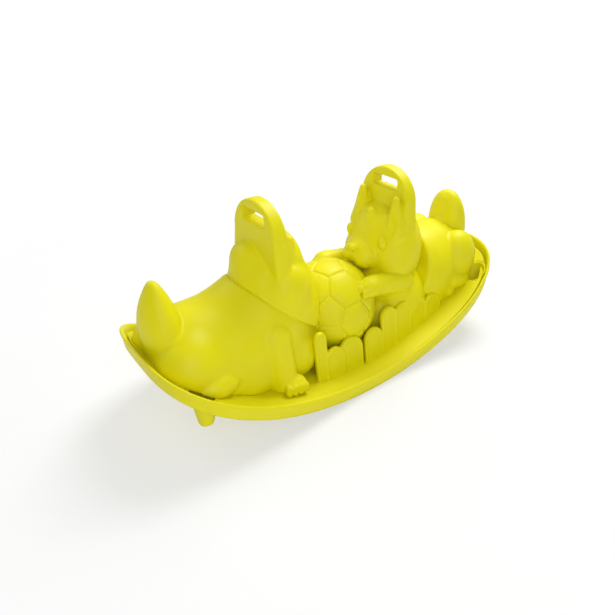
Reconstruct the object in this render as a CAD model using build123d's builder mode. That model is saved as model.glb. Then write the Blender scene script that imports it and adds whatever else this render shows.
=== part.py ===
from build123d import *
import os
from math import cos, radians, sin, sqrt

# A one-piece style ride-on seesaw for two small children: two hollow dogs face each other across
# a football on a long tray, and the tray's skirt is curved underneath, so the whole toy rocks.
# +X runs along the tray, +Y to the rear, +Z up. The origin is on the ground at mid-length.

# Driving dimensions, in millimetres
LENGTH = 1100.0  # overall, along X
WIDTH = 440.0  # overall, across the rim at mid-length
RIM_RISE = 208.0  # how much higher the rim is at its ends than at mid-length
BAND = 42.0  # rocker band, from the ground to the top of the rim at mid-length
HANDLE_TOP = 512.0  # top of both handles above the ground
WALL = 3.0  # moulded wall

SIDE_BOW = 24.0  # how far each long side bows out past its corners
END_BOW = 14.0  # how far each end bows out past its corners
CORNER_RADIUS = 85.0
RIM_WIDTH = 10.0  # the rolled rim, seen from above
RIM_HEIGHT = 14.0
SKIRT_INSET = 3.0  # the skirt stands this far inside the rim's outer edge
GROOVE = 3.0  # dark gap between the rim and the edge of the deck
DECK_DROP = 12.0  # the deck lies this far below the rim
LEDGE_WIDTH = 16.0  # what the deck rests on, inside the rim
OPENING_RADIUS = 40.0  # corners of the openings under the hollow figures

LEG_X = 468.0
LEG_Y = 144.0
LEG_BOTTOM = 92.0  # the tips clear the ground by this much when the toy is level
LEG_TOP_RADIUS = 28.5  # at the deck
LEG_TIP_RADIUS = 18.0
LEG_TIP_FILLET = 5.0

BALL_RADIUS = 133.0
BALL_HEIGHT = 158.0  # of its centre above the ground

HANDLE_X = 207.0
HANDLE_THICK = 38.0
HANDLE_RADIUS = 88.0  # of the handle's arched top, about the middle of the slab
HANDLE_DEPTH = 60.0  # how far the slab runs down into the head below its arch
HANDLE_FILLET = 8.0
SLOT_WIDTH = 93.0
SLOT_HEIGHT = 30.0
SLOT_BOTTOM = 458.0

TAIL_X = 478.0
TAIL_TOP = 391.0
TAIL_FILLET = 9.0

LEFT_NAPE = (-295.0, 335.0)  # X and Z where the neck step meets the seat
LEFT_NECK_ANGLE = -39.0  # of the neck step, from level
RIGHT_NAPE = (322.0, 323.0)
RIGHT_NECK_ANGLE = 73.0
RIGHT_JAW = 225.0  # height where the right head meets the chest

MUZZLE_RADIUS = 38.0
MUZZLE_SPREAD = 7.0  # half the distance between the muzzle's round ends
EAR_Y = 72.0

HAUNCH_X = 410.0
THIGH_Y = 86.0
THIGH_HEIGHT = 212.0
THIGH_RADIUS = 74.0
FOOT_Y = 128.0
FOOT_RADIUS = 29.0
FOOT_REACH = 26.0  # from the haunch to the middle of each round end of the foot
FORELEG_X = 250.0
FORELEG_RADIUS = 34.0
PAW_RADIUS = 24.0
ARM_RADIUS = 29.0

LEAF_OUTER = 141.0  # the leaf borders stand between these two distances from the middle line
LEAF_INNER = 126.0
SEAT_OPENING = (150.0, 470.0)  # X range of the opening under each dog
SEAT_OPENING_HALF_WIDTH = 85.0

# Places that follow from the driving dimensions
ROCK_RADIUS = (LENGTH**2 / 4 + RIM_RISE**2) / (2 * RIM_RISE)
DECK_TOP = BAND - DECK_DROP
DECK_INSET = RIM_WIDTH + GROOVE
HEIGHT = HANDLE_TOP
DEPTH = 400.0  # well below the tray, for cutting


def rocking_arc(x):
    """Height of the rocking arc above the ground at x."""
    return ROCK_RADIUS - sqrt(ROCK_RADIUS**2 - x**2)


def deck_at(x):
    """Height of the deck's upper face at x."""
    return rocking_arc(x) + DECK_TOP


def arc_slice(low, high):
    """Everything between the rocking arc raised by low and the same arc raised by high."""
    reach = LENGTH / 2 + WALL
    end = rocking_arc(reach)
    with BuildPart() as part:
        with BuildSketch(Plane.XZ):
            with BuildLine():
                lower = ThreePointArc((-reach, end + low), (0, low), (reach, end + low))
                upper = ThreePointArc((-reach, end + high), (0, high), (reach, end + high))
                Line(lower @ 0, upper @ 0)
                Line(lower @ 1, upper @ 1)
            make_face()
        extrude(amount=WIDTH, both=True)
    return part.part


def plan_outline(inset):
    """The rim's outline seen from above, drawn in by inset: four bowed sides with round corners."""
    half_length = LENGTH / 2 - inset
    half_width = WIDTH / 2 - inset
    corner_x = half_length - END_BOW
    corner_y = half_width - SIDE_BOW
    with BuildSketch() as plan:
        with BuildLine():
            ThreePointArc((-corner_x, -corner_y), (0, -half_width), (corner_x, -corner_y))
            ThreePointArc((corner_x, -corner_y), (half_length, 0), (corner_x, corner_y))
            ThreePointArc((corner_x, corner_y), (0, half_width), (-corner_x, corner_y))
            ThreePointArc((-corner_x, corner_y), (-half_length, 0), (-corner_x, -corner_y))
        make_face()
        fillet(plan.vertices(), CORNER_RADIUS - inset)
    return plan.sketch


def tray_ring(outer, inner, low, high):
    """A ring between two insets of the plan outline, between two heights above the rocking arc."""
    with BuildPart() as part:
        with BuildSketch():
            add(plan_outline(outer))
            add(plan_outline(inner), mode=Mode.SUBTRACT)
        extrude(amount=HEIGHT)
        add(arc_slice(low, high), mode=Mode.INTERSECT)
    return part.part


def upright_form(stations, inset=0.0):
    """Loft through level ellipses (z, x, half length, half width), all drawn in by inset."""
    with BuildPart() as part:
        for z, x, half_length, half_width in stations:
            with BuildSketch(Plane.XY.offset(z - inset)):
                with Locations((x, 0)):
                    Ellipse(half_length - inset, half_width - inset)
        loft()
    return part.part


def lengthwise_form(stations, inset=0.0):
    """Loft through upright ellipses (x, z, half width, half height), all drawn in by inset."""
    with BuildPart() as part:
        for x, z, half_width, half_height in stations:
            with BuildSketch(Plane.YZ.offset(x)):
                with Locations((0, z)):
                    Ellipse(half_width - inset, half_height - inset)
        loft()
    return part.part


def capsule(start, end, radius):
    """A round-ended rod between two points."""
    axis = Vector(*end) - Vector(*start)
    with BuildPart(Plane(origin=start, z_dir=axis)) as part:
        Sphere(radius)
        Cylinder(radius, axis.length, align=(Align.CENTER, Align.CENTER, Align.MIN))
        with Locations((0, 0, axis.length)):
            Sphere(radius)
    return part.part


def globe(centre, radius):
    """A solid sphere about a point."""
    with BuildPart() as part:
        with Locations(centre):
            Sphere(radius)
    return part.part


def main_solid(part):
    """The largest solid of a part, without the slivers that a cut leaves."""
    return part.solids().sort_by(Axis.Z).sort_by(SortBy.VOLUME)[-1]


def hollow(outer, inner, *cutters):
    """A shell between two forms, cut back to what it meets and to the deck it stands on."""
    with BuildPart() as part:
        add(outer)
        add(inner, mode=Mode.SUBTRACT)
        for cutter in cutters:
            add(cutter, mode=Mode.SUBTRACT)
        add(below_deck, mode=Mode.SUBTRACT)
    with BuildPart() as shell:
        add(main_solid(part.part))
    return shell


def add_pair(name, front):
    """A front piece and its mirror image at the rear."""
    with BuildPart() as rear:
        mirror(front.part, about=Plane.XZ)
    pieces[name + "_front"] = front
    pieces[name + "_rear"] = rear


below_deck = arc_slice(-DEPTH, DECK_TOP)
pieces = {}


# Where the stop legs stand, and the shape that they and their holes share
def leg_cone(x, y, bottom, inset):
    """The cup's cone about an upright axis at x and y, drawn in by inset."""
    top = deck_at(LEG_X) + LEG_TOP_RADIUS
    slope = (LEG_TOP_RADIUS - LEG_TIP_RADIUS) / (deck_at(LEG_X) - LEG_BOTTOM)
    foot = LEG_TIP_RADIUS - inset + slope * (bottom - LEG_BOTTOM)
    with BuildPart() as part:
        with BuildSketch(Plane.XZ):
            with BuildLine():
                Polyline((0, bottom), (foot, bottom), (foot + slope * (top - bottom), top), (0, top), close=True)
            make_face()
        revolve(axis=Axis.Z)
        fillet(part.edges().sort_by(Axis.Z)[0], LEG_TIP_FILLET - inset / 2)
    return Pos(x, y, 0) * part.part


leg_places = {
    "left_front": (-LEG_X, -LEG_Y),
    "left_rear": (-LEG_X, LEG_Y),
    "right_front": (LEG_X, -LEG_Y),
    "right_rear": (LEG_X, LEG_Y),
}


# Rocker band: a skirt with the rolled rim above it and the ledge that carries the deck
skirt_inner = SKIRT_INSET + WALL
ledge_top = DECK_TOP - WALL
with BuildPart() as rocker_band:
    add(tray_ring(0, RIM_WIDTH, BAND - RIM_HEIGHT, BAND))
    add(tray_ring(SKIRT_INSET, skirt_inner, 0, BAND - RIM_HEIGHT))
    add(tray_ring(SKIRT_INSET, DECK_INSET + LEDGE_WIDTH, ledge_top - WALL, ledge_top))
    add(tray_ring(RIM_WIDTH - WALL, RIM_WIDTH, ledge_top - WALL, BAND))
    for x, y in leg_places.values():
        add(leg_cone(x, y, LEG_BOTTOM, 0), mode=Mode.SUBTRACT)
pieces["rocker_band"] = rocker_band


# Stop legs: tapered cups, open at the deck, that end the rocking stroke before the toy tips
for place, (x, y) in leg_places.items():
    with BuildPart() as leg:
        add(leg_cone(x, y, LEG_BOTTOM, 0))
        add(leg_cone(x, y, LEG_BOTTOM + WALL, WALL), mode=Mode.SUBTRACT)
        add(below_deck, mode=Mode.INTERSECT)
    pieces["stop_leg_" + place] = leg


# Deck: the tray's floor, holed for the cups and open under the hollow dogs
with BuildPart() as deck_panel:
    with BuildSketch():
        add(plan_outline(DECK_INSET))
        for start, end in (SEAT_OPENING, tuple(-x for x in SEAT_OPENING)):
            with Locations(((start + end) / 2, 0)):
                RectangleRounded(abs(end - start), 2 * SEAT_OPENING_HALF_WIDTH, OPENING_RADIUS, mode=Mode.SUBTRACT)
    extrude(amount=HEIGHT)
    add(arc_slice(ledge_top, DECK_TOP), mode=Mode.INTERSECT)
    for x, y in leg_places.values():
        add(leg_cone(x, y, LEG_BOTTOM, 0), mode=Mode.SUBTRACT)
pieces["deck_panel"] = deck_panel


# Ball between the dogs: a hollow sphere cut off by the deck
ball_centre = (0, 0, BALL_HEIGHT)
ball_outer = globe(ball_centre, BALL_RADIUS)
pieces["ball"] = hollow(ball_outer, globe(ball_centre, BALL_RADIUS - WALL))


# Handle slabs: each head ends in an upright slab with an arched top and a hand slot through it
def handle_slab(x, inset):
    """The slab on both sides of x, drawn in by inset, down to where it is inside the head."""
    middle = HANDLE_TOP - HANDLE_RADIUS
    radius = HANDLE_RADIUS - inset
    with BuildPart() as part:
        with BuildSketch(Plane.YZ.offset(x)):
            with Locations((0, middle)):
                Circle(radius)
            with Locations((0, middle - HANDLE_DEPTH / 2)):
                Rectangle(2 * radius, HANDLE_DEPTH)
        extrude(amount=HANDLE_THICK / 2 - inset, both=True)
        arches = part.edges().filter_by(GeomType.CIRCLE).group_by(Axis.Z)[-1]
        fillet(arches, HANDLE_FILLET - inset)
    return part.part


def hand_slot(x, margin):
    """The hand slot as a solid through the slab, with a margin all round."""
    with BuildPart() as part:
        with BuildSketch(Plane.YZ.offset(x)):
            with Locations((0, SLOT_BOTTOM + SLOT_HEIGHT / 2)):
                SlotOverall(SLOT_WIDTH + 2 * margin, SLOT_HEIGHT + 2 * margin)
        extrude(amount=HANDLE_THICK, both=True)
    return part.part


def step_plane(nape, angle):
    """The plane of a neck step, facing up, across the toy at the nape."""
    x, z = nape
    tilt = radians(angle)
    return Plane(origin=(x, 0, z), x_dir=(0, 1, 0), z_dir=(-sin(tilt), 0, cos(tilt)))


def cut_by(form, plane, keep):
    """The part of a form on one side of a plane."""
    with BuildPart() as part:
        add(form)
        split(bisect_by=plane, keep=keep)
    return part.part


def head_shell(form, core, x, *cutters):
    """A hollow head with its handle slab, and a lined hand slot through the slab."""
    with BuildPart() as cavity:
        add(core)
        add(handle_slab(x, WALL))
        add(hand_slot(x, WALL), mode=Mode.SUBTRACT)
    with BuildPart() as outer:
        add(form)
        add(handle_slab(x, 0))
        add(hand_slot(x, 0), mode=Mode.SUBTRACT)
    return hollow(outer.part, cavity.part, *cutters)


# Left dog: seat and back below the neck step, head and handle above it
left_body_stations = [
    (-520, 200, 95, 72),
    (-470, 188, 125, 110),
    (-400, 160, 140, 140),
    (-330, 150, 146, 154),
    (-270, 150, 148, 180),
    (-200, 140, 146, 180),
    (-140, 130, 134, 150),
    (-80, 110, 110, 110),
]
left_head_stations = [
    (160, -170, 124, 126),
    (250, -190, 124, 124),
    (300, -196, 110, 118),
    (335, -197, 98, 111),
    (370, -198, 80, 101),
    (400, -198, 62, 93),
    (425, -204, 38, 86),
]
left_step = step_plane(LEFT_NAPE, LEFT_NECK_ANGLE)
left_body_form = cut_by(lengthwise_form(left_body_stations), left_step, Keep.BOTTOM)
left_body_core = cut_by(lengthwise_form(left_body_stations, WALL), left_step.offset(-WALL), Keep.BOTTOM)
pieces["left_body"] = hollow(left_body_form, left_body_core, ball_outer)
left_head_form = cut_by(upright_form(left_head_stations), left_step, Keep.TOP)
left_head_core = cut_by(upright_form(left_head_stations, WALL), left_step, Keep.TOP)
pieces["left_head"] = head_shell(left_head_form, left_head_core, -HANDLE_X, left_body_form, ball_outer)

# Right dog: sitting up, so it has a chest below the jaw and a back behind the neck step
right_body_stations = [
    (240, 150, 134, 165),
    (300, 150, 140, 166),
    (350, 152, 142, 159),
    (420, 165, 138, 145),
    (470, 188, 125, 116),
    (520, 200, 95, 76),
]
right_chest_stations = [
    (20, 200, 96, 124),
    (150, 205, 92, 120),
    (RIGHT_JAW, 208, 84, 104),
]
right_head_stations = [
    (RIGHT_JAW, 205, 84, 103),
    (255, 200, 95, 116),
    (295, 200, 97, 116),
    (335, 203, 91, 108),
    (370, 205, 78, 99),
    (400, 205, 62, 93),
    (425, 206, 38, 86),
]
right_step = step_plane(RIGHT_NAPE, RIGHT_NECK_ANGLE)
right_body_form = cut_by(lengthwise_form(right_body_stations), right_step, Keep.BOTTOM)
right_body_core = cut_by(lengthwise_form(right_body_stations, WALL), right_step.offset(-WALL), Keep.BOTTOM)
pieces["right_body"] = hollow(right_body_form, right_body_core)
right_chest_form = upright_form(right_chest_stations)
right_chest_core = upright_form(right_chest_stations, WALL)
pieces["right_chest"] = hollow(right_chest_form, right_chest_core, right_body_form, ball_outer)
right_head_form = upright_form(right_head_stations)
right_head_core = upright_form(right_head_stations, WALL)
pieces["right_head"] = head_shell(right_head_form, right_head_core, HANDLE_X, right_body_form, ball_outer)


# Muzzle and ears of the right dog
muzzle_ends = ((106, -MUZZLE_SPREAD, 290), (106, MUZZLE_SPREAD, 290))
muzzle_form = capsule(*muzzle_ends, MUZZLE_RADIUS)
muzzle_core = capsule(*muzzle_ends, MUZZLE_RADIUS - WALL)
pieces["right_muzzle"] = hollow(muzzle_form, muzzle_core, right_head_form, ball_outer)
ear_stations = [(345, 172, 26, 30), (400, 176, 22, 27), (440, 174, 14, 18), (462, 170, 6, 8)]
ear_place = Pos(0, -EAR_Y, 0)
ear = ear_place * upright_form(ear_stations)
ear_core = ear_place * upright_form(ear_stations, WALL / 2)
add_pair("right_ear", hollow(ear, ear_core, right_head_form, handle_slab(HANDLE_X, 0)))


# Tails: upright cones behind the seats, which a child leans back on
left_tail_stations = [(170, -480, 54, 76), (255, -480, 46, 68), (320, -480, 36, 54), (362, -479, 22, 32)]
right_tail_stations = [(170, 480, 54, 76), (255, 480, 44, 68), (320, 477, 38, 60), (362, 474, 27, 44)]
for name, stations, tip, body in (
    ("left_tail", left_tail_stations, (TAIL_TOP, -TAIL_X, 9, 12), left_body_form),
    ("right_tail", right_tail_stations, (TAIL_TOP, TAIL_X - 8, 11, 22), right_body_form),
):
    pieces[name] = hollow(upright_form(stations + [tip]), upright_form(stations + [tip], WALL), body)


# Haunches: a round thigh on each flank of each dog, with its foot along the deck
for dog, direction, body in (("left", -1, left_body_form), ("right", 1, right_body_form)):
    thigh_centre = (direction * HAUNCH_X, -THIGH_Y, THIGH_HEIGHT)
    foot_ends = [
        (direction * (HAUNCH_X + along), -FOOT_Y, deck_at(HAUNCH_X + along) + FOOT_RADIUS * 0.8)
        for along in (-FOOT_REACH, FOOT_REACH)
    ]
    with BuildPart() as outer:
        add(globe(thigh_centre, THIGH_RADIUS))
        add(capsule(*foot_ends, FOOT_RADIUS))
    with BuildPart() as core:
        add(globe(thigh_centre, THIGH_RADIUS - WALL))
        add(capsule(*foot_ends, FOOT_RADIUS - WALL))
    add_pair(dog + "_haunch", hollow(outer.part, core.part, body))


# Forelegs: the left dog's stand on the deck, the right dog's rest on the ball
leg_ends = ((-FORELEG_X, -124, deck_at(FORELEG_X)), (-FORELEG_X - 12, -118, 222))
paw_ends = [(-x, -150, deck_at(x) + PAW_RADIUS * 0.8) for x in (FORELEG_X, FORELEG_X - 34)]
with BuildPart() as outer:
    add(capsule(*leg_ends, FORELEG_RADIUS))
    add(capsule(*paw_ends, PAW_RADIUS))
with BuildPart() as core:
    add(capsule(*leg_ends, FORELEG_RADIUS - WALL))
    add(capsule(*paw_ends, PAW_RADIUS - WALL))
add_pair("left_foreleg", hollow(outer.part, core.part, left_body_form))

arm_ends = ((150, -92, 222), (54, -94, 244))
arm_form = capsule(*arm_ends, ARM_RADIUS)
arm_core = capsule(*arm_ends, ARM_RADIUS - WALL)
add_pair("right_foreleg", hollow(arm_form, arm_core, right_head_form, right_chest_form, ball_outer))


# Leaf borders: hollow scalloped screens beside the ball and beside the right dog's chest
def leaf_row(leaves, inset):
    """A row of round-topped leaves (x, top, half width) on the front side, drawn in by inset."""
    with BuildPart() as part:
        with BuildSketch(Plane.XZ.offset(LEAF_INNER + inset)):
            for x, top, half_width in leaves:
                with Locations((x, top - half_width)):
                    Circle(half_width - inset)
                with Locations((x, (top - half_width) / 2)):
                    Rectangle(2 * (half_width - inset), top - half_width)
        extrude(amount=LEAF_OUTER - LEAF_INNER - 2 * inset)
    return part.part


leaf_rows = {
    "ball_leaves": [(-128, 178, 22), (-88, 122, 34), (-26, 124, 40), (48, 112, 42)],
    "chest_leaves": [(124, 165, 33), (186, 158, 36), (250, 148, 36), (308, 150, 30)],
}
for name, leaves in leaf_rows.items():
    leaf_cutters = (ball_outer, left_body_form, right_body_form, right_chest_form)
    add_pair(name, hollow(leaf_row(leaves, 0), leaf_row(leaves, WALL), *leaf_cutters))


os.makedirs("parts", exist_ok=True)
for name, piece in pieces.items():
    piece.part.label = name
    export_step(piece.part, f"parts/{name}.step")
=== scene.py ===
import math

import bmesh
import bpy
import numpy as np
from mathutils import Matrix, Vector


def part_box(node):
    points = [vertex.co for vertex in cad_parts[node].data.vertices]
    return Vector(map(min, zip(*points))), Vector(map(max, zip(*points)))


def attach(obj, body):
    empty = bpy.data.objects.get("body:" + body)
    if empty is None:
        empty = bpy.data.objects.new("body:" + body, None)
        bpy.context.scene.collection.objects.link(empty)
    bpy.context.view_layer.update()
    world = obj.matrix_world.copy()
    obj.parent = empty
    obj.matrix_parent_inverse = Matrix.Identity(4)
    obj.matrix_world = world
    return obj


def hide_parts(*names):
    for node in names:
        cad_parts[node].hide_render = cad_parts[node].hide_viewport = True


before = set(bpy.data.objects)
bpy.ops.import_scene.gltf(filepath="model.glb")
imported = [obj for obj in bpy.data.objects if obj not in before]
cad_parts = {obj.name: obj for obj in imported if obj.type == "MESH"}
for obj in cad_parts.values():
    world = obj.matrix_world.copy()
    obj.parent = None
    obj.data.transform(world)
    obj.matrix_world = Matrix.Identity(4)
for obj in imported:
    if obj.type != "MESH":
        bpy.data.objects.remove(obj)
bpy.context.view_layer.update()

import openvdb
from mathutils import Euler, Matrix, Vector

# Moulded polyethylene
# The toy is rotation-moulded from polyethylene coloured all through: one waxy yellow-green, satin,
# with a faint leathery grain from the mould and no paint anywhere.


def linear(hex_colour):
    """An sRGB hex colour as linear red, green, blue and alpha."""
    channels = [int(hex_colour[i:i + 2], 16) / 255 for i in (1, 3, 5)]
    bent = [c / 12.92 if c <= 0.04045 else ((c + 0.055) / 1.055) ** 2.4 for c in channels]
    return (*bent, 1.0)


def add_node(tree, kind, links=(), **settings):
    """A node with its sockets set by name and its inputs linked as (socket, node, output)."""
    node = tree.nodes.new(kind)
    for name, value in settings.items():
        if name.replace("_", " ") in node.inputs:
            node.inputs[name.replace("_", " ")].default_value = value
        else:
            setattr(node, name, value)
    for socket, source, output in links:
        tree.links.new(source.outputs[output], node.inputs[socket])
    return node


def moulded_polyethylene():
    """Satin polyethylene: IOR 1.51, a soft broad highlight, a little light let into the wall."""
    material = bpy.data.materials.new("moulded_polyethylene")
    material.use_nodes = True
    tree = material.node_tree
    shader = tree.nodes["Principled BSDF"]
    shader.inputs["IOR"].default_value = 1.51
    shader.inputs["Specular IOR Level"].default_value = 0.28
    shader.inputs["Subsurface Weight"].default_value = 0.05
    shader.inputs["Subsurface Radius"].default_value = (0.006, 0.005, 0.001)
    shader.inputs["Subsurface Scale"].default_value = 1.0
    place = add_node(tree, "ShaderNodeTexCoord")
    # Colour drifts by a few percent over a hand's width, as pigment settles in the mould
    drift = add_node(tree, "ShaderNodeTexNoise", [("Vector", place, "Object")], Scale=7.0, Detail=2.0)
    colour = add_node(tree, "ShaderNodeMix", data_type="RGBA")
    colour.inputs[6].default_value = linear("#E0D800")
    colour.inputs[7].default_value = linear("#E6DE00")
    tree.links.new(drift.outputs["Fac"], colour.inputs["Factor"])
    tree.links.new(colour.outputs[2], shader.inputs["Base Color"])
    # Grain about 1.6 mm across, drawn coarser than the real 0.5 mm so that it shows
    grain = add_node(tree, "ShaderNodeTexNoise", [("Vector", place, "Object")], Scale=620.0, Detail=2.0)
    handling = add_node(tree, "ShaderNodeTexNoise", [("Vector", place, "Object")], Scale=16.0, Detail=4.0)
    rough = add_node(tree, "ShaderNodeMapRange", [("Value", handling, "Fac")], To_Min=0.42, To_Max=0.52)
    tree.links.new(rough.outputs["Result"], shader.inputs["Roughness"])
    bump = add_node(tree, "ShaderNodeBump", [("Height", grain, "Fac")], Strength=0.10, Distance=0.0004)
    tree.links.new(bump.outputs["Normal"], shader.inputs["Normal"])
    return material


plastic = moulded_polyethylene()


# Rim and rocker band
# A skirt turned down all round the tray, 42 mm deep, with a rolled bead on top and a narrow
# groove inside it. The skirt's lower edge is an arc, and the toy rocks on that arc.
high = Vector(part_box("rocker_band")[1])
half_length = high.x * 1000
half_width = high.y * 1000
band = 42.0
rim_rise = high.z * 1000 - band
rock_radius = (half_length**2 + rim_rise**2) / (2 * rim_rise)
deck_level = 30.0
deck_edge = 15.5
wall = 3.0
end_fullness, side_fullness = 6.03, 3.43  # how square the plan is at its ends and along its sides


def rocking_arc(x):
    """Height in mm of the rocking arc above the ground, at x in mm."""
    return rock_radius - np.sqrt(rock_radius**2 - np.minimum(np.abs(x), half_length + 20) ** 2)


def plan_outline(count):
    """Even points round the tray seen from above, and the outward direction at each."""
    turn = np.linspace(0, 2 * math.pi, 20001)
    x = half_length * np.sign(np.cos(turn)) * np.abs(np.cos(turn)) ** (2 / end_fullness)
    y = half_width * np.sign(np.sin(turn)) * np.abs(np.sin(turn)) ** (2 / side_fullness)
    along = np.concatenate([[0], np.cumsum(np.hypot(np.diff(x), np.diff(y)))])
    even = np.linspace(0, along[-1], count, endpoint=False)
    points = np.stack([np.interp(even, along, x), np.interp(even, along, y)], axis=1)
    heading = np.roll(points, -1, axis=0) - np.roll(points, 1, axis=0)
    outward = np.stack([heading[:, 1], -heading[:, 0]], axis=1)
    return points, outward / np.linalg.norm(outward, axis=1)[:, None]


def finish_piece(name, vertices, faces, nodes, smooth_angle=None):
    """A piece in plastic from points in mm, standing for its CAD nodes and riding on the toy."""
    mesh = bpy.data.meshes.new(name)
    mesh.from_pydata((np.asarray(vertices) * 0.001).tolist(), [], faces)
    shape = bmesh.new()
    shape.from_mesh(mesh)
    bmesh.ops.remove_doubles(shape, verts=shape.verts, dist=0.00002)
    bmesh.ops.recalc_face_normals(shape, faces=shape.faces)
    shape.to_mesh(mesh)
    shape.free()
    mesh.materials.append(plastic)
    mesh.shade_smooth()
    if smooth_angle:
        mesh.set_sharp_from_angle(angle=math.radians(smooth_angle))
    piece = bpy.data.objects.new(name, mesh)
    bpy.context.scene.collection.objects.link(piece)
    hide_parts(*nodes)
    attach(piece, "root")
    return piece


outline, outward = plan_outline(420)
rim_profile = [
    (3.0, 1.0), (2.6, 14.0), (2.2, 25.0), (1.2, 28.0), (0.2, 31.0), (0.0, 34.5), (0.5, 37.6), (1.8, 40.2),
    (3.6, 41.6), (5.6, 42.0), (7.4, 41.4), (8.9, 39.8), (9.7, 37.4), (10.0, 34.0), (10.2, 28.0), (10.6, 23.0),
    (12.0, 22.0), (26.0, 22.0), (26.0, 19.5), (7.5, 19.5), (6.4, 17.0), (6.0, 1.0), (5.2, 0.0), (3.8, 0.0),
]
vertices = []
faces = []
count = len(rim_profile)
for i, (point, out) in enumerate(zip(outline, outward)):
    following = (i + 1) % len(outline)
    for j, (inset, height) in enumerate(rim_profile):
        x, y = point - out * inset
        vertices.append((x, y, rocking_arc(point[0] - out[0] * inset) + height))
        after = (j + 1) % count
        faces.append((i * count + j, i * count + after, following * count + after, following * count + j))
finish_piece("rocker_band_moulding", vertices, faces, ["rocker_band"], 60)


# Deck and stop cups
# The tray's floor follows the same arc, a little below the bead. Near each corner it sinks into a
# deep tapered cup whose closed tip is the foot that ends the rocking stroke.
leg_x, leg_y = 468.0, 144.0
cup_mouth = 28.0
tip_height = 92.0
spine = 380.0  # half the length of the middle line that the deck's rings close on
deck_reach = 190.0

rings = np.concatenate([[0, 0.6, 1.6, 3.2], np.linspace(8, deck_reach, 40)])
vertices = []
faces = []
for k, inset in enumerate(rings):
    drop = max(0.0, 2.0 - 1.6 * inset)
    for i, (point, out) in enumerate(zip(outline, outward)):
        edge = point - out * deck_edge
        centre = np.array([np.clip(edge[0], -spine, spine), 0.0])
        x, y = centre + (edge - centre) * (1 - min(inset / deck_reach, 1.0))
        vertices.append((x, y, rocking_arc(x) + deck_level - drop))
        if k:
            following = (i + 1) % len(outline)
            last = (k - 1) * len(outline)
            faces.append((last + i, last + following, k * len(outline) + following, k * len(outline) + i))
deck = finish_piece("deck_moulding", vertices, faces, ["deck_panel"])
shape = bmesh.new()
shape.from_mesh(deck.data)
for sx in (-1, 1):
    for sy in (-1, 1):
        mouth = [
            v for v in shape.verts
            if math.hypot(v.co.x * 1000 - sx * leg_x, v.co.y * 1000 - sy * leg_y) < cup_mouth
        ]
        bmesh.ops.delete(shape, geom=mouth, context="VERTS")
if shape.faces and sum(face.normal.z for face in shape.faces) < 0:
    bmesh.ops.reverse_faces(shape, faces=shape.faces)
shape.to_mesh(deck.data)
shape.free()
thick = deck.modifiers.new("wall", "SOLIDIFY")
thick.thickness = wall * 0.001
thick.offset = -1

for side_x, end in ((-1, "left"), (1, "right")):
    for side_y, row in ((-1, "front"), (1, "rear")):
        vertices = []
        faces = []
        around = 64
        levels = [
            (31.5, None, -0.4), (30.2, None, 0.5), (28.6, None, 0.6), (27.6, None, -0.6), (26.8, None, -3.0),
            (15.4, tip_height + 6, 0), (13.0, tip_height + wall, 0), (0.1, tip_height + wall, 0),
            (0.1, tip_height, 0), (14.5, tip_height, 0), (17.0, tip_height + 1.2, 0), (18.4, tip_height + 5, 0),
            (29.6, None, -5.0), (31.5, None, -3.0),
        ]
        for k, (radius, height, lift) in enumerate(levels):
            for i in range(around):
                turn = 2 * math.pi * i / around
                x = side_x * leg_x + radius * math.cos(turn)
                y = side_y * leg_y + radius * math.sin(turn)
                z = rocking_arc(x) + deck_level + lift if height is None else height
                vertices.append((x, y, z))
                following = (i + 1) % around
                last = (k - 1) % len(levels) * around
                faces.append((last + i, last + following, k * around + following, k * around + i))
        finish_piece(f"stop_cup_{end}_{row}", vertices, faces, [f"stop_leg_{end}_{row}"], 50)


# Figures
# The dogs, ball and leaves are one moulding with the deck: soft rounded forms that melt into one
# another. Each is described as a field of distances in mm, and its skin is where the field is zero.
def egg(p, centre, radii):
    """Distance to an egg-shaped form with half axes along X, Y and Z."""
    x, y, z = (p[i] - centre[i] for i in range(3))
    near = np.sqrt((x / radii[0]) ** 2 + (y / radii[1]) ** 2 + (z / radii[2]) ** 2)
    slope = np.sqrt((x / radii[0] ** 2) ** 2 + (y / radii[1] ** 2) ** 2 + (z / radii[2] ** 2) ** 2)
    return near * (near - 1) / np.maximum(slope, 1e-9)


def limb(p, start, end, thick_start, thick_end):
    """Distance to a round-ended limb that tapers from one point to another."""
    start, end = np.array(start, float), np.array(end, float)
    run = end - start
    x, y, z = (p[i] - start[i] for i in range(3))
    share = np.clip((x * run[0] + y * run[1] + z * run[2]) / (run @ run), 0, 1)
    away = np.sqrt((x - share * run[0]) ** 2 + (y - share * run[1]) ** 2 + (z - share * run[2]) ** 2)
    return away - (thick_start + (thick_end - thick_start) * share)


def melt(a, b, blend):
    """Two forms joined with a soft fillet."""
    share = np.clip(0.5 + 0.5 * (b - a) / blend, 0, 1)
    return b + (a - b) * share - blend * share * (1 - share)


def carve(a, b, blend):
    """The first form with the second cut out of it, with softened edges."""
    return -melt(-a, b, blend)


def neck_step(p, nape, angle):
    """Signed distance in mm above the plane of a neck step."""
    tilt = math.radians(angle)
    return -(p[0] - nape[0]) * math.sin(tilt) + (p[2] - nape[1]) * math.cos(tilt)


def mirrored(p):
    """The same points folded onto the front half, for what is alike front and rear."""
    return p[0], -np.abs(p[1]), p[2]


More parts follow.
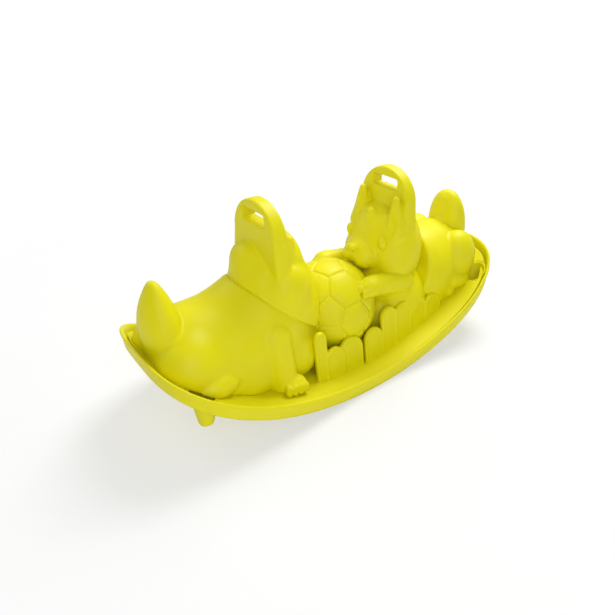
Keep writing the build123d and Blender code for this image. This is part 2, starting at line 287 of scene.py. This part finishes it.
def moulded_form(name, low, high, field, nodes, step=3.0, below=3.0):
    """A hollow skin round a field, open underneath where it meets the deck."""
    axes = [np.arange(a, b, step, dtype=np.float32) for a, b in zip(low, high)]
    p = np.meshgrid(*axes, indexing="ij")
    grid = openvdb.FloatGrid(background=4 * step)
    grid.copyFromArray(np.clip(field(p), -4 * step, 4 * step).astype(np.float32))
    points, _, quads = grid.convertToPolygons(isovalue=0.0, adaptivity=0.0)
    points = points * step + np.array(low)
    depth = points[:, 2] - rocking_arc(points[:, 0]) - deck_level
    keep = (depth[quads] > -below).all(axis=1)
    piece = finish_piece(name, points, quads[keep].tolist(), nodes)
    shape = bmesh.new()
    shape.from_mesh(piece.data)
    loose = [v for v in shape.verts if not v.link_faces]
    bmesh.ops.delete(shape, geom=loose, context="VERTS")
    for _ in range(2):
        bmesh.ops.smooth_vert(
            shape, verts=shape.verts, factor=0.5, use_axis_x=True, use_axis_y=True, use_axis_z=True
        )
    shape.to_mesh(piece.data)
    shape.free()
    return piece


# Left dog
# It lies along the tray with its forepaws on the deck. Its back is the seat, its tail is the
# backrest, and a step runs round its neck where the head and handle rise out of the body.
left_nape = (-295.0, 335.0)
left_angle = -39.0


def toes(p, places, radii):
    """A row of small rounded toes, close together."""
    row = egg(p, places[0], radii)
    for place in places[1:]:
        row = melt(row, egg(p, place, radii), 2)
    return row


def left_dog(p):
    """Seat, rump, legs and tail of the left dog."""
    f = mirrored(p)
    body = melt(egg(p, (-430, 0, 178), (98, 122, 122)), egg(p, (-335, 0, 160), (150, 143, 146)), 40)
    body = melt(body, egg(p, (-235, 0, 190), (135, 132, 158)), 34)
    body = melt(body, egg(p, (-175, 0, 110), (110, 128, 100)), 30)
    body = -melt(-body, -neck_step(p, left_nape, left_angle), 5)
    body = melt(body, egg(p, (-330, 0, 112), (150, 145, 74)), 24)
    body = melt(body, egg(f, (-446, -62, 190), (86, 81, 92)), 12)
    body = melt(body, egg(f, (-424, -122, 162), (60, 38, 33)), 4)
    hind_toes = [(-374, -96, 132), (-374, -115, 132), (-380, -133, 134)]
    body = melt(body, toes(f, hind_toes, (20, 10.5, 19)), 3)
    body = melt(body, limb(f, (-254, -104, 212), (-248, -122, 92), 43, 40), 5)
    body = melt(body, egg(f, (-232, -150, 84), (36, 26, 24)), 5)
    fore_toes = [(-258, -169, 86), (-241, -173, 83), (-224, -173, 80), (-208, -168, 78)]
    body = melt(body, toes(f, fore_toes, (9.5, 13, 17)), 2.5)
    tail = melt(egg(p, (-482, 0, 255), (46, 69, 96)), egg(p, (-479, 0, 322), (26, 40, 71)), 34)
    return melt(body, tail, 5)


left_nodes = ["left_body", "left_tail"]
left_nodes += [f"left_{part}_{row}" for part in ("haunch", "foreleg") for row in ("front", "rear")]
moulded_form("left_dog_moulding", (-560, -176, 40), (-40, 178, 408), left_dog, left_nodes)


def handle(p, x, foot):
    """The upright slab of a handle with its arched top, and its hand slot."""
    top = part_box("left_head")[1][2] * 1000
    radius = 88.0
    edge = 6
    slot_half_width, slot_half_height, slot_corner, slot_middle = 46.5, 15, 7, 473
    middle = top - radius
    y, z = p[1], p[2] - middle
    flare = np.clip(-z / 60, 0, 1) * 8
    arch = np.where(z > 0, np.hypot(y, z), np.abs(y)) - radius - flare
    thick = 17.5 + np.clip((top - p[2]) / 90, 0, 1.4) * 3
    across = np.abs(p[0] - x) - thick
    slab = np.minimum(np.maximum(arch + edge, across + edge), 0)
    slab += np.hypot(np.maximum(arch + edge, 0), np.maximum(across + edge, 0)) - edge
    slab = np.maximum(slab, foot - p[2])
    slot_y = np.maximum(np.abs(y) - slot_half_width + slot_corner, 0)
    slot_z = np.maximum(np.abs(p[2] - slot_middle) - slot_half_height + slot_corner, 0)
    slot = np.hypot(slot_y, slot_z) - slot_corner
    return slab, slot


def left_head(p):
    """Head of the left dog, rising into the handle."""
    slab, slot = handle(p, -207, 330)
    f = mirrored(p)
    head = egg(p, (-190, 0, 214), (122, 126, 190))
    head = melt(head, egg(p, (-236, 22, 345), (38, 58, 62)), 12)
    head = melt(head, egg(p, (-160, 0, 352), (44, 84, 78)), 14)
    head = melt(head, egg(f, (-186, -74, 300), (62, 48, 74)), 10)
    head = melt(head, egg(p, (-120, 0, 262), (46, 52, 42)), 14)
    head = -melt(-head, neck_step(p, left_nape, left_angle) + 6, 3)
    ear = limb(f, (-176, -62, 340), (-172, -64, 424), 27, 12)
    ear = carve(ear, egg(f, (-146, -76, 386), (14, 14, 38)), 5)
    head = melt(head, ear, 5)
    head = melt(head, slab, 4)
    head = carve(head, limb(f, (-86, -8, 268), (-104, -34, 250), 2.4, 2.4), 3)
    head = melt(head, egg(f, (-126, -68, 318), (10, 9, 17)), 2)
    return carve(head, slot, 1.5)


moulded_form("left_head_moulding", (-330, -150, 120), (-40, 152, 518), left_head, ["left_head"], step=2.5)


# Right dog
# It sits up facing the other, forepaws on the ball, with its hindquarters behind the neck step.
right_nape = (318.0, 323.0)
right_angle = 73.0


def right_dog(p):
    """Seat, haunches and tail of the right dog."""
    f = mirrored(p)
    body = melt(egg(p, (430, 0, 182), (95, 120, 124)), egg(p, (345, 0, 160), (130, 138, 150)), 40)
    body = -melt(-body, -neck_step(p, right_nape, right_angle), 5)
    body = melt(body, egg(f, (436, -86, 214), (62, 58, 84)), 6)
    body = melt(body, egg(f, (410, -114, 160), (52, 38, 31)), 5)
    hind_toes = [(366, -96, 132), (366, -115, 132), (372, -133, 134)]
    body = melt(body, toes(f, hind_toes, (20, 10.5, 19)), 3)
    tail = melt(egg(p, (482, 0, 268), (42, 66, 90)), egg(p, (473, 0, 325), (33, 56, 68)), 26)
    tail = carve(tail, egg(p, (424, 0, 345), (24, 34, 40)), 8)
    return melt(body, tail, 5)


right_nodes = ["right_body", "right_tail", "right_haunch_front", "right_haunch_rear"]
moulded_form("right_dog_moulding", (180, -176, 60), (560, 178, 404), right_dog, right_nodes)


def right_front(p):
    """Head, chest and forelegs of the right dog."""
    slab, slot = handle(p, 207, 330)
    f = mirrored(p)
    head = egg(p, (206, 0, 288), (95, 116, 132))
    head = melt(head, egg(f, (186, -62, 268), (60, 54, 50)), 12)
    ear = limb(f, (178, -68, 352), (172, -64, 444), 35, 10)
    ear = carve(ear, egg(f, (140, -84, 398), (22, 22, 44)), 4)
    head = melt(head, ear, 5)
    head = melt(head, slab, 4)
    tuft = limb(p, (160, 0, 366), (146, 0, 400), 30, 13)
    tuft = melt(tuft, limb(f, (172, -34, 364), (168, -42, 388), 26, 12), 5)
    head = melt(head, tuft, 6)
    muzzle = melt(egg(p, (128, 0, 292), (48, 50, 42)), egg(f, (118, -24, 281), (40, 32, 30)), 14)
    muzzle = carve(muzzle, limb(f, (74, -2, 273), (98, -48, 269), 2.2, 2.2), 3)
    head = melt(head, muzzle, 5)
    head = melt(head, egg(p, (82, 0, 314), (13, 18, 11)), 3)
    socket = egg(f, (124, -68, 334), (16, 14, 25))
    head = carve(head, np.abs(socket) - 1.2, 2)
    head = melt(head, egg(f, (131, -65, 334), (11, 10, 18)), 2)
    form = -melt(-head, neck_step(p, right_nape, right_angle) + 6, 3)
    chest = melt(egg(p, (212, 0, 132), (118, 128, 118)), egg(f, (216, -66, 90), (130, 66, 110)), 30)
    chest = melt(chest, egg(f, (168, -52, 206), (84, 66, 52)), 20)
    form = melt(form, chest, 5)
    arm = melt(limb(f, (190, -92, 214), (78, -98, 236), 36, 29), egg(f, (66, -100, 238), (36, 31, 28)), 6)
    paw_toes = [(36, -82, 244), (34, -98, 239), (37, -114, 232)]
    arm = melt(arm, toes(f, paw_toes, (15, 9, 14)), 3)
    form = melt(form, arm, 5)
    return carve(form, slot, 1.5)


front_nodes = ["right_head", "right_chest", "right_muzzle", "right_ear_front", "right_ear_rear"]
front_nodes += ["right_foreleg_front", "right_foreleg_rear"]
moulded_form("right_head_moulding", (0, -152, 30), (340, 154, 518), right_front, front_nodes, step=2.5)


# Football
# A hollow ball held between the dogs, with the seams of its five- and six-sided panels moulded in
# as shallow rounded grooves.
ball_low, ball_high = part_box("ball")
ball_radius = (ball_high[0] - ball_low[0]) / 2
ball_centre = Vector((0, 0, ball_high[2] - ball_radius))
ball_turn = Euler([math.radians(a) for a in (26.7, -2.5, 106.8)]).to_matrix()
golden = (1 + math.sqrt(5)) / 2
corners = [Vector(c).normalized() for s in (1, -1) for t in (golden, -golden)
           for c in ((0, s, t), (s, t, 0), (t, 0, s))]
fives = [ball_turn @ c for c in corners]
sixes = []
for i in range(12):
    for j in range(i):
        for k in range(j):
            a, b, c = fives[i], fives[j], fives[k]
            if min(a @ b, b @ c, a @ c) > 0.4:
                sixes.append((a + b + c).normalized())
to_five, to_six = 2.327, 2.267  # from the ball's centre to its flat panels, in seam lengths
seam_depth, seam_width = 0.0034, 0.0023
panel_crown, crown_width = 0.0010, 0.012
panels = np.array([n / to_five for n in fives] + [n / to_six for n in sixes])
shape = bmesh.new()
bmesh.ops.create_icosphere(shape, subdivisions=7, radius=1.0)
for vert in shape.verts:
    nearest = np.sort(panels @ np.array(vert.co))
    from_seam = (nearest[-1] - nearest[-2]) / 0.30 * ball_radius
    groove = seam_depth * math.exp(-((from_seam / seam_width) ** 2))
    crown = panel_crown * (1 - math.exp(-((from_seam / crown_width) ** 2)))
    vert.co = ball_centre + vert.co * (ball_radius - 0.001 - groove + crown)
mesh = bpy.data.meshes.new("football_moulding")
shape.to_mesh(mesh)
shape.free()
mesh.materials.append(plastic)
mesh.shade_smooth()
football = bpy.data.objects.new("football_moulding", mesh)
bpy.context.scene.collection.objects.link(football)
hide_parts("ball")
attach(football, "root")


# Leaf borders
# Broad rounded grass leaves stand on the deck beside the ball and the right dog's chest. Each has
# a faint raised rim and runs softly into the next, as one moulding with the deck.
def leaf(p, x, top, half_width, y, lean):
    """One upright leaf: round-topped, thin, dished inside a raised rim, leaning to the middle."""
    across = p[0] - x
    z = p[2] - (top - half_width * 1.1)
    shape = np.where(z > 0, np.hypot(across, z / 1.1), np.abs(across)) - half_width
    skin = np.abs(p[1] - y - lean * (p[2] - 60)) - 5.5
    skin -= 1.5 * np.exp(-(((shape + 4) / 3.2) ** 2))
    edge = np.minimum(np.maximum(shape + 3, skin + 3), 0)
    return edge + np.hypot(np.maximum(shape + 3, 0), np.maximum(skin + 3, 0)) - 3


ball_leaves = [(-128, 180, 19), (-86, 122, 33), (-28, 131, 41), (54, 127, 34)]
chest_leaves = [(116, 168, 30), (170, 164, 34), (234, 154, 37), (296, 152, 33)]
for row, sign in (("front", -1), ("rear", 1)):
    for name, leaves in (("ball_leaves", ball_leaves), ("chest_leaves", chest_leaves)):
        def leaf_row(p, leaves=leaves, sign=sign):
            """A row of leaves, every other one a little further out."""
            row_field = None
            for i, (x, top, half_width) in enumerate(leaves):
                one = leaf(p, x, top, half_width, sign * (138 + 2 * (i % 2)), -sign * 0.15)
                row_field = one if row_field is None else melt(row_field, one, 4.0)
            mound = np.maximum(egg(p, (0, 0, 20), (150, 129, 84)), 60 - sign * p[1])
            return np.minimum(row_field, mound) if leaves is ball_leaves else row_field
        near, far = sorted((sign * 52, sign * 150))
        start, end = leaves[0][0] - 40, leaves[-1][0] + 40
        moulded_form(f"{name}_{row}_moulding", (start, near, 20), (end, far, 190), leaf_row, [f"{name}_{row}"], 1.8)


# Stage
# A plain white sweep with a soft key lamp at the upper right, a large fill lamp in front, a weaker
# one behind and a pale world, at a level where a colour renders about as it is written.
def area_lamp(name, place, aim, size, power):
    """A square soft lamp that points from its place to its aim."""
    lamp = bpy.data.lights.new(name, "AREA")
    lamp.size = size
    lamp.energy = power
    holder = bpy.data.objects.new(name, lamp)
    holder.location = place
    holder.rotation_mode = "QUATERNION"
    holder.rotation_quaternion = (Vector(aim) - Vector(place)).to_track_quat("-Z", "Y")
    bpy.context.scene.collection.objects.link(holder)


area_lamp("key", (1.3, 0.5, 2.4), (0, 0, 0.2), 1.3, 58)
area_lamp("fill", (-1.2, -2.2, 1.5), (0, 0, 0.2), 2.2, 30)
area_lamp("back", (-1.4, 1.8, 1.8), (0, 0, 0.3), 1.6, 16)

world = bpy.data.worlds.new("studio")
world.use_nodes = True
sky = world.node_tree
background = sky.nodes["Background"]
background.inputs["Color"].default_value = (1, 1, 1, 1)
ray = add_node(sky, "ShaderNodeLightPath")
camera_or_transmission = add_node(sky, "ShaderNodeMath", operation="MAXIMUM")
sky.links.new(ray.outputs["Is Camera Ray"], camera_or_transmission.inputs[0])
sky.links.new(ray.outputs["Is Transmission Ray"], camera_or_transmission.inputs[1])
level = add_node(sky, "ShaderNodeMapRange", [("Value", camera_or_transmission, 0)], To_Min=0.33, To_Max=1.0)
sky.links.new(level.outputs["Result"], background.inputs["Strength"])
bpy.context.scene.world = world

floor_paint = bpy.data.materials.new("white_sweep")
floor_paint.use_nodes = True
tree = floor_paint.node_tree
paint = tree.nodes["Principled BSDF"]
paint.inputs["Base Color"].default_value = linear("#F4F4F4")
paint.inputs["Roughness"].default_value = 0.9
paint.inputs["Specular IOR Level"].default_value = 0.1
glow = add_node(tree, "ShaderNodeEmission", Strength=1.0)
ray = add_node(tree, "ShaderNodeLightPath")
spot = add_node(tree, "ShaderNodeTexCoord")
away = add_node(tree, "ShaderNodeVectorMath", [(0, spot, "Object")], operation="LENGTH")
fade = add_node(tree, "ShaderNodeMapRange", [("Value", away, "Value")], From_Min=0.7, From_Max=1.6, To_Min=0.5)
share = add_node(tree, "ShaderNodeMath", [(0, ray, "Is Camera Ray"), (1, fade, "Result")], operation="MULTIPLY")
mixed = add_node(tree, "ShaderNodeMixShader", [("Fac", share, 0), (1, paint, "BSDF"), (2, glow, "Emission")])
tree.links.new(mixed.outputs[0], tree.nodes["Material Output"].inputs["Surface"])
mesh = bpy.data.meshes.new("floor")
mesh.from_pydata([(-9, -9, 0), (9, -9, 0), (9, 9, 0), (-9, 9, 0)], [], [(0, 1, 2, 3)])
mesh.materials.append(floor_paint)
floor = bpy.data.objects.new("floor", mesh)
bpy.context.scene.collection.objects.link(floor)

# Camera, above the near left and looking down along the toy
turn, rise, roll = (math.radians(a) for a in (-39.23, 34.92, 0.73))
back = Vector((math.sin(turn) * math.cos(rise), -math.cos(turn) * math.cos(rise), math.sin(rise)))
right = Vector((math.cos(turn), math.sin(turn), 0))
up = back.cross(right)
right, up = right * math.cos(roll) + up * math.sin(roll), up * math.cos(roll) - right * math.sin(roll)
lens = bpy.data.cameras.new("camera")
lens.lens = 29.99
lens.sensor_width = 36
lens.shift_x = -0.0332
lens.shift_y = 0.0500
camera = bpy.data.objects.new("camera", lens)
bpy.context.scene.collection.objects.link(camera)
camera.rotation_mode = "QUATERNION"
camera.location = back * 1.5215 + Vector((0, 0, 0.042))
camera.rotation_quaternion = Matrix((right, up, back)).transposed().to_quaternion()
bpy.context.scene.camera = camera
bpy.context.scene.view_settings.view_transform = "Standard"
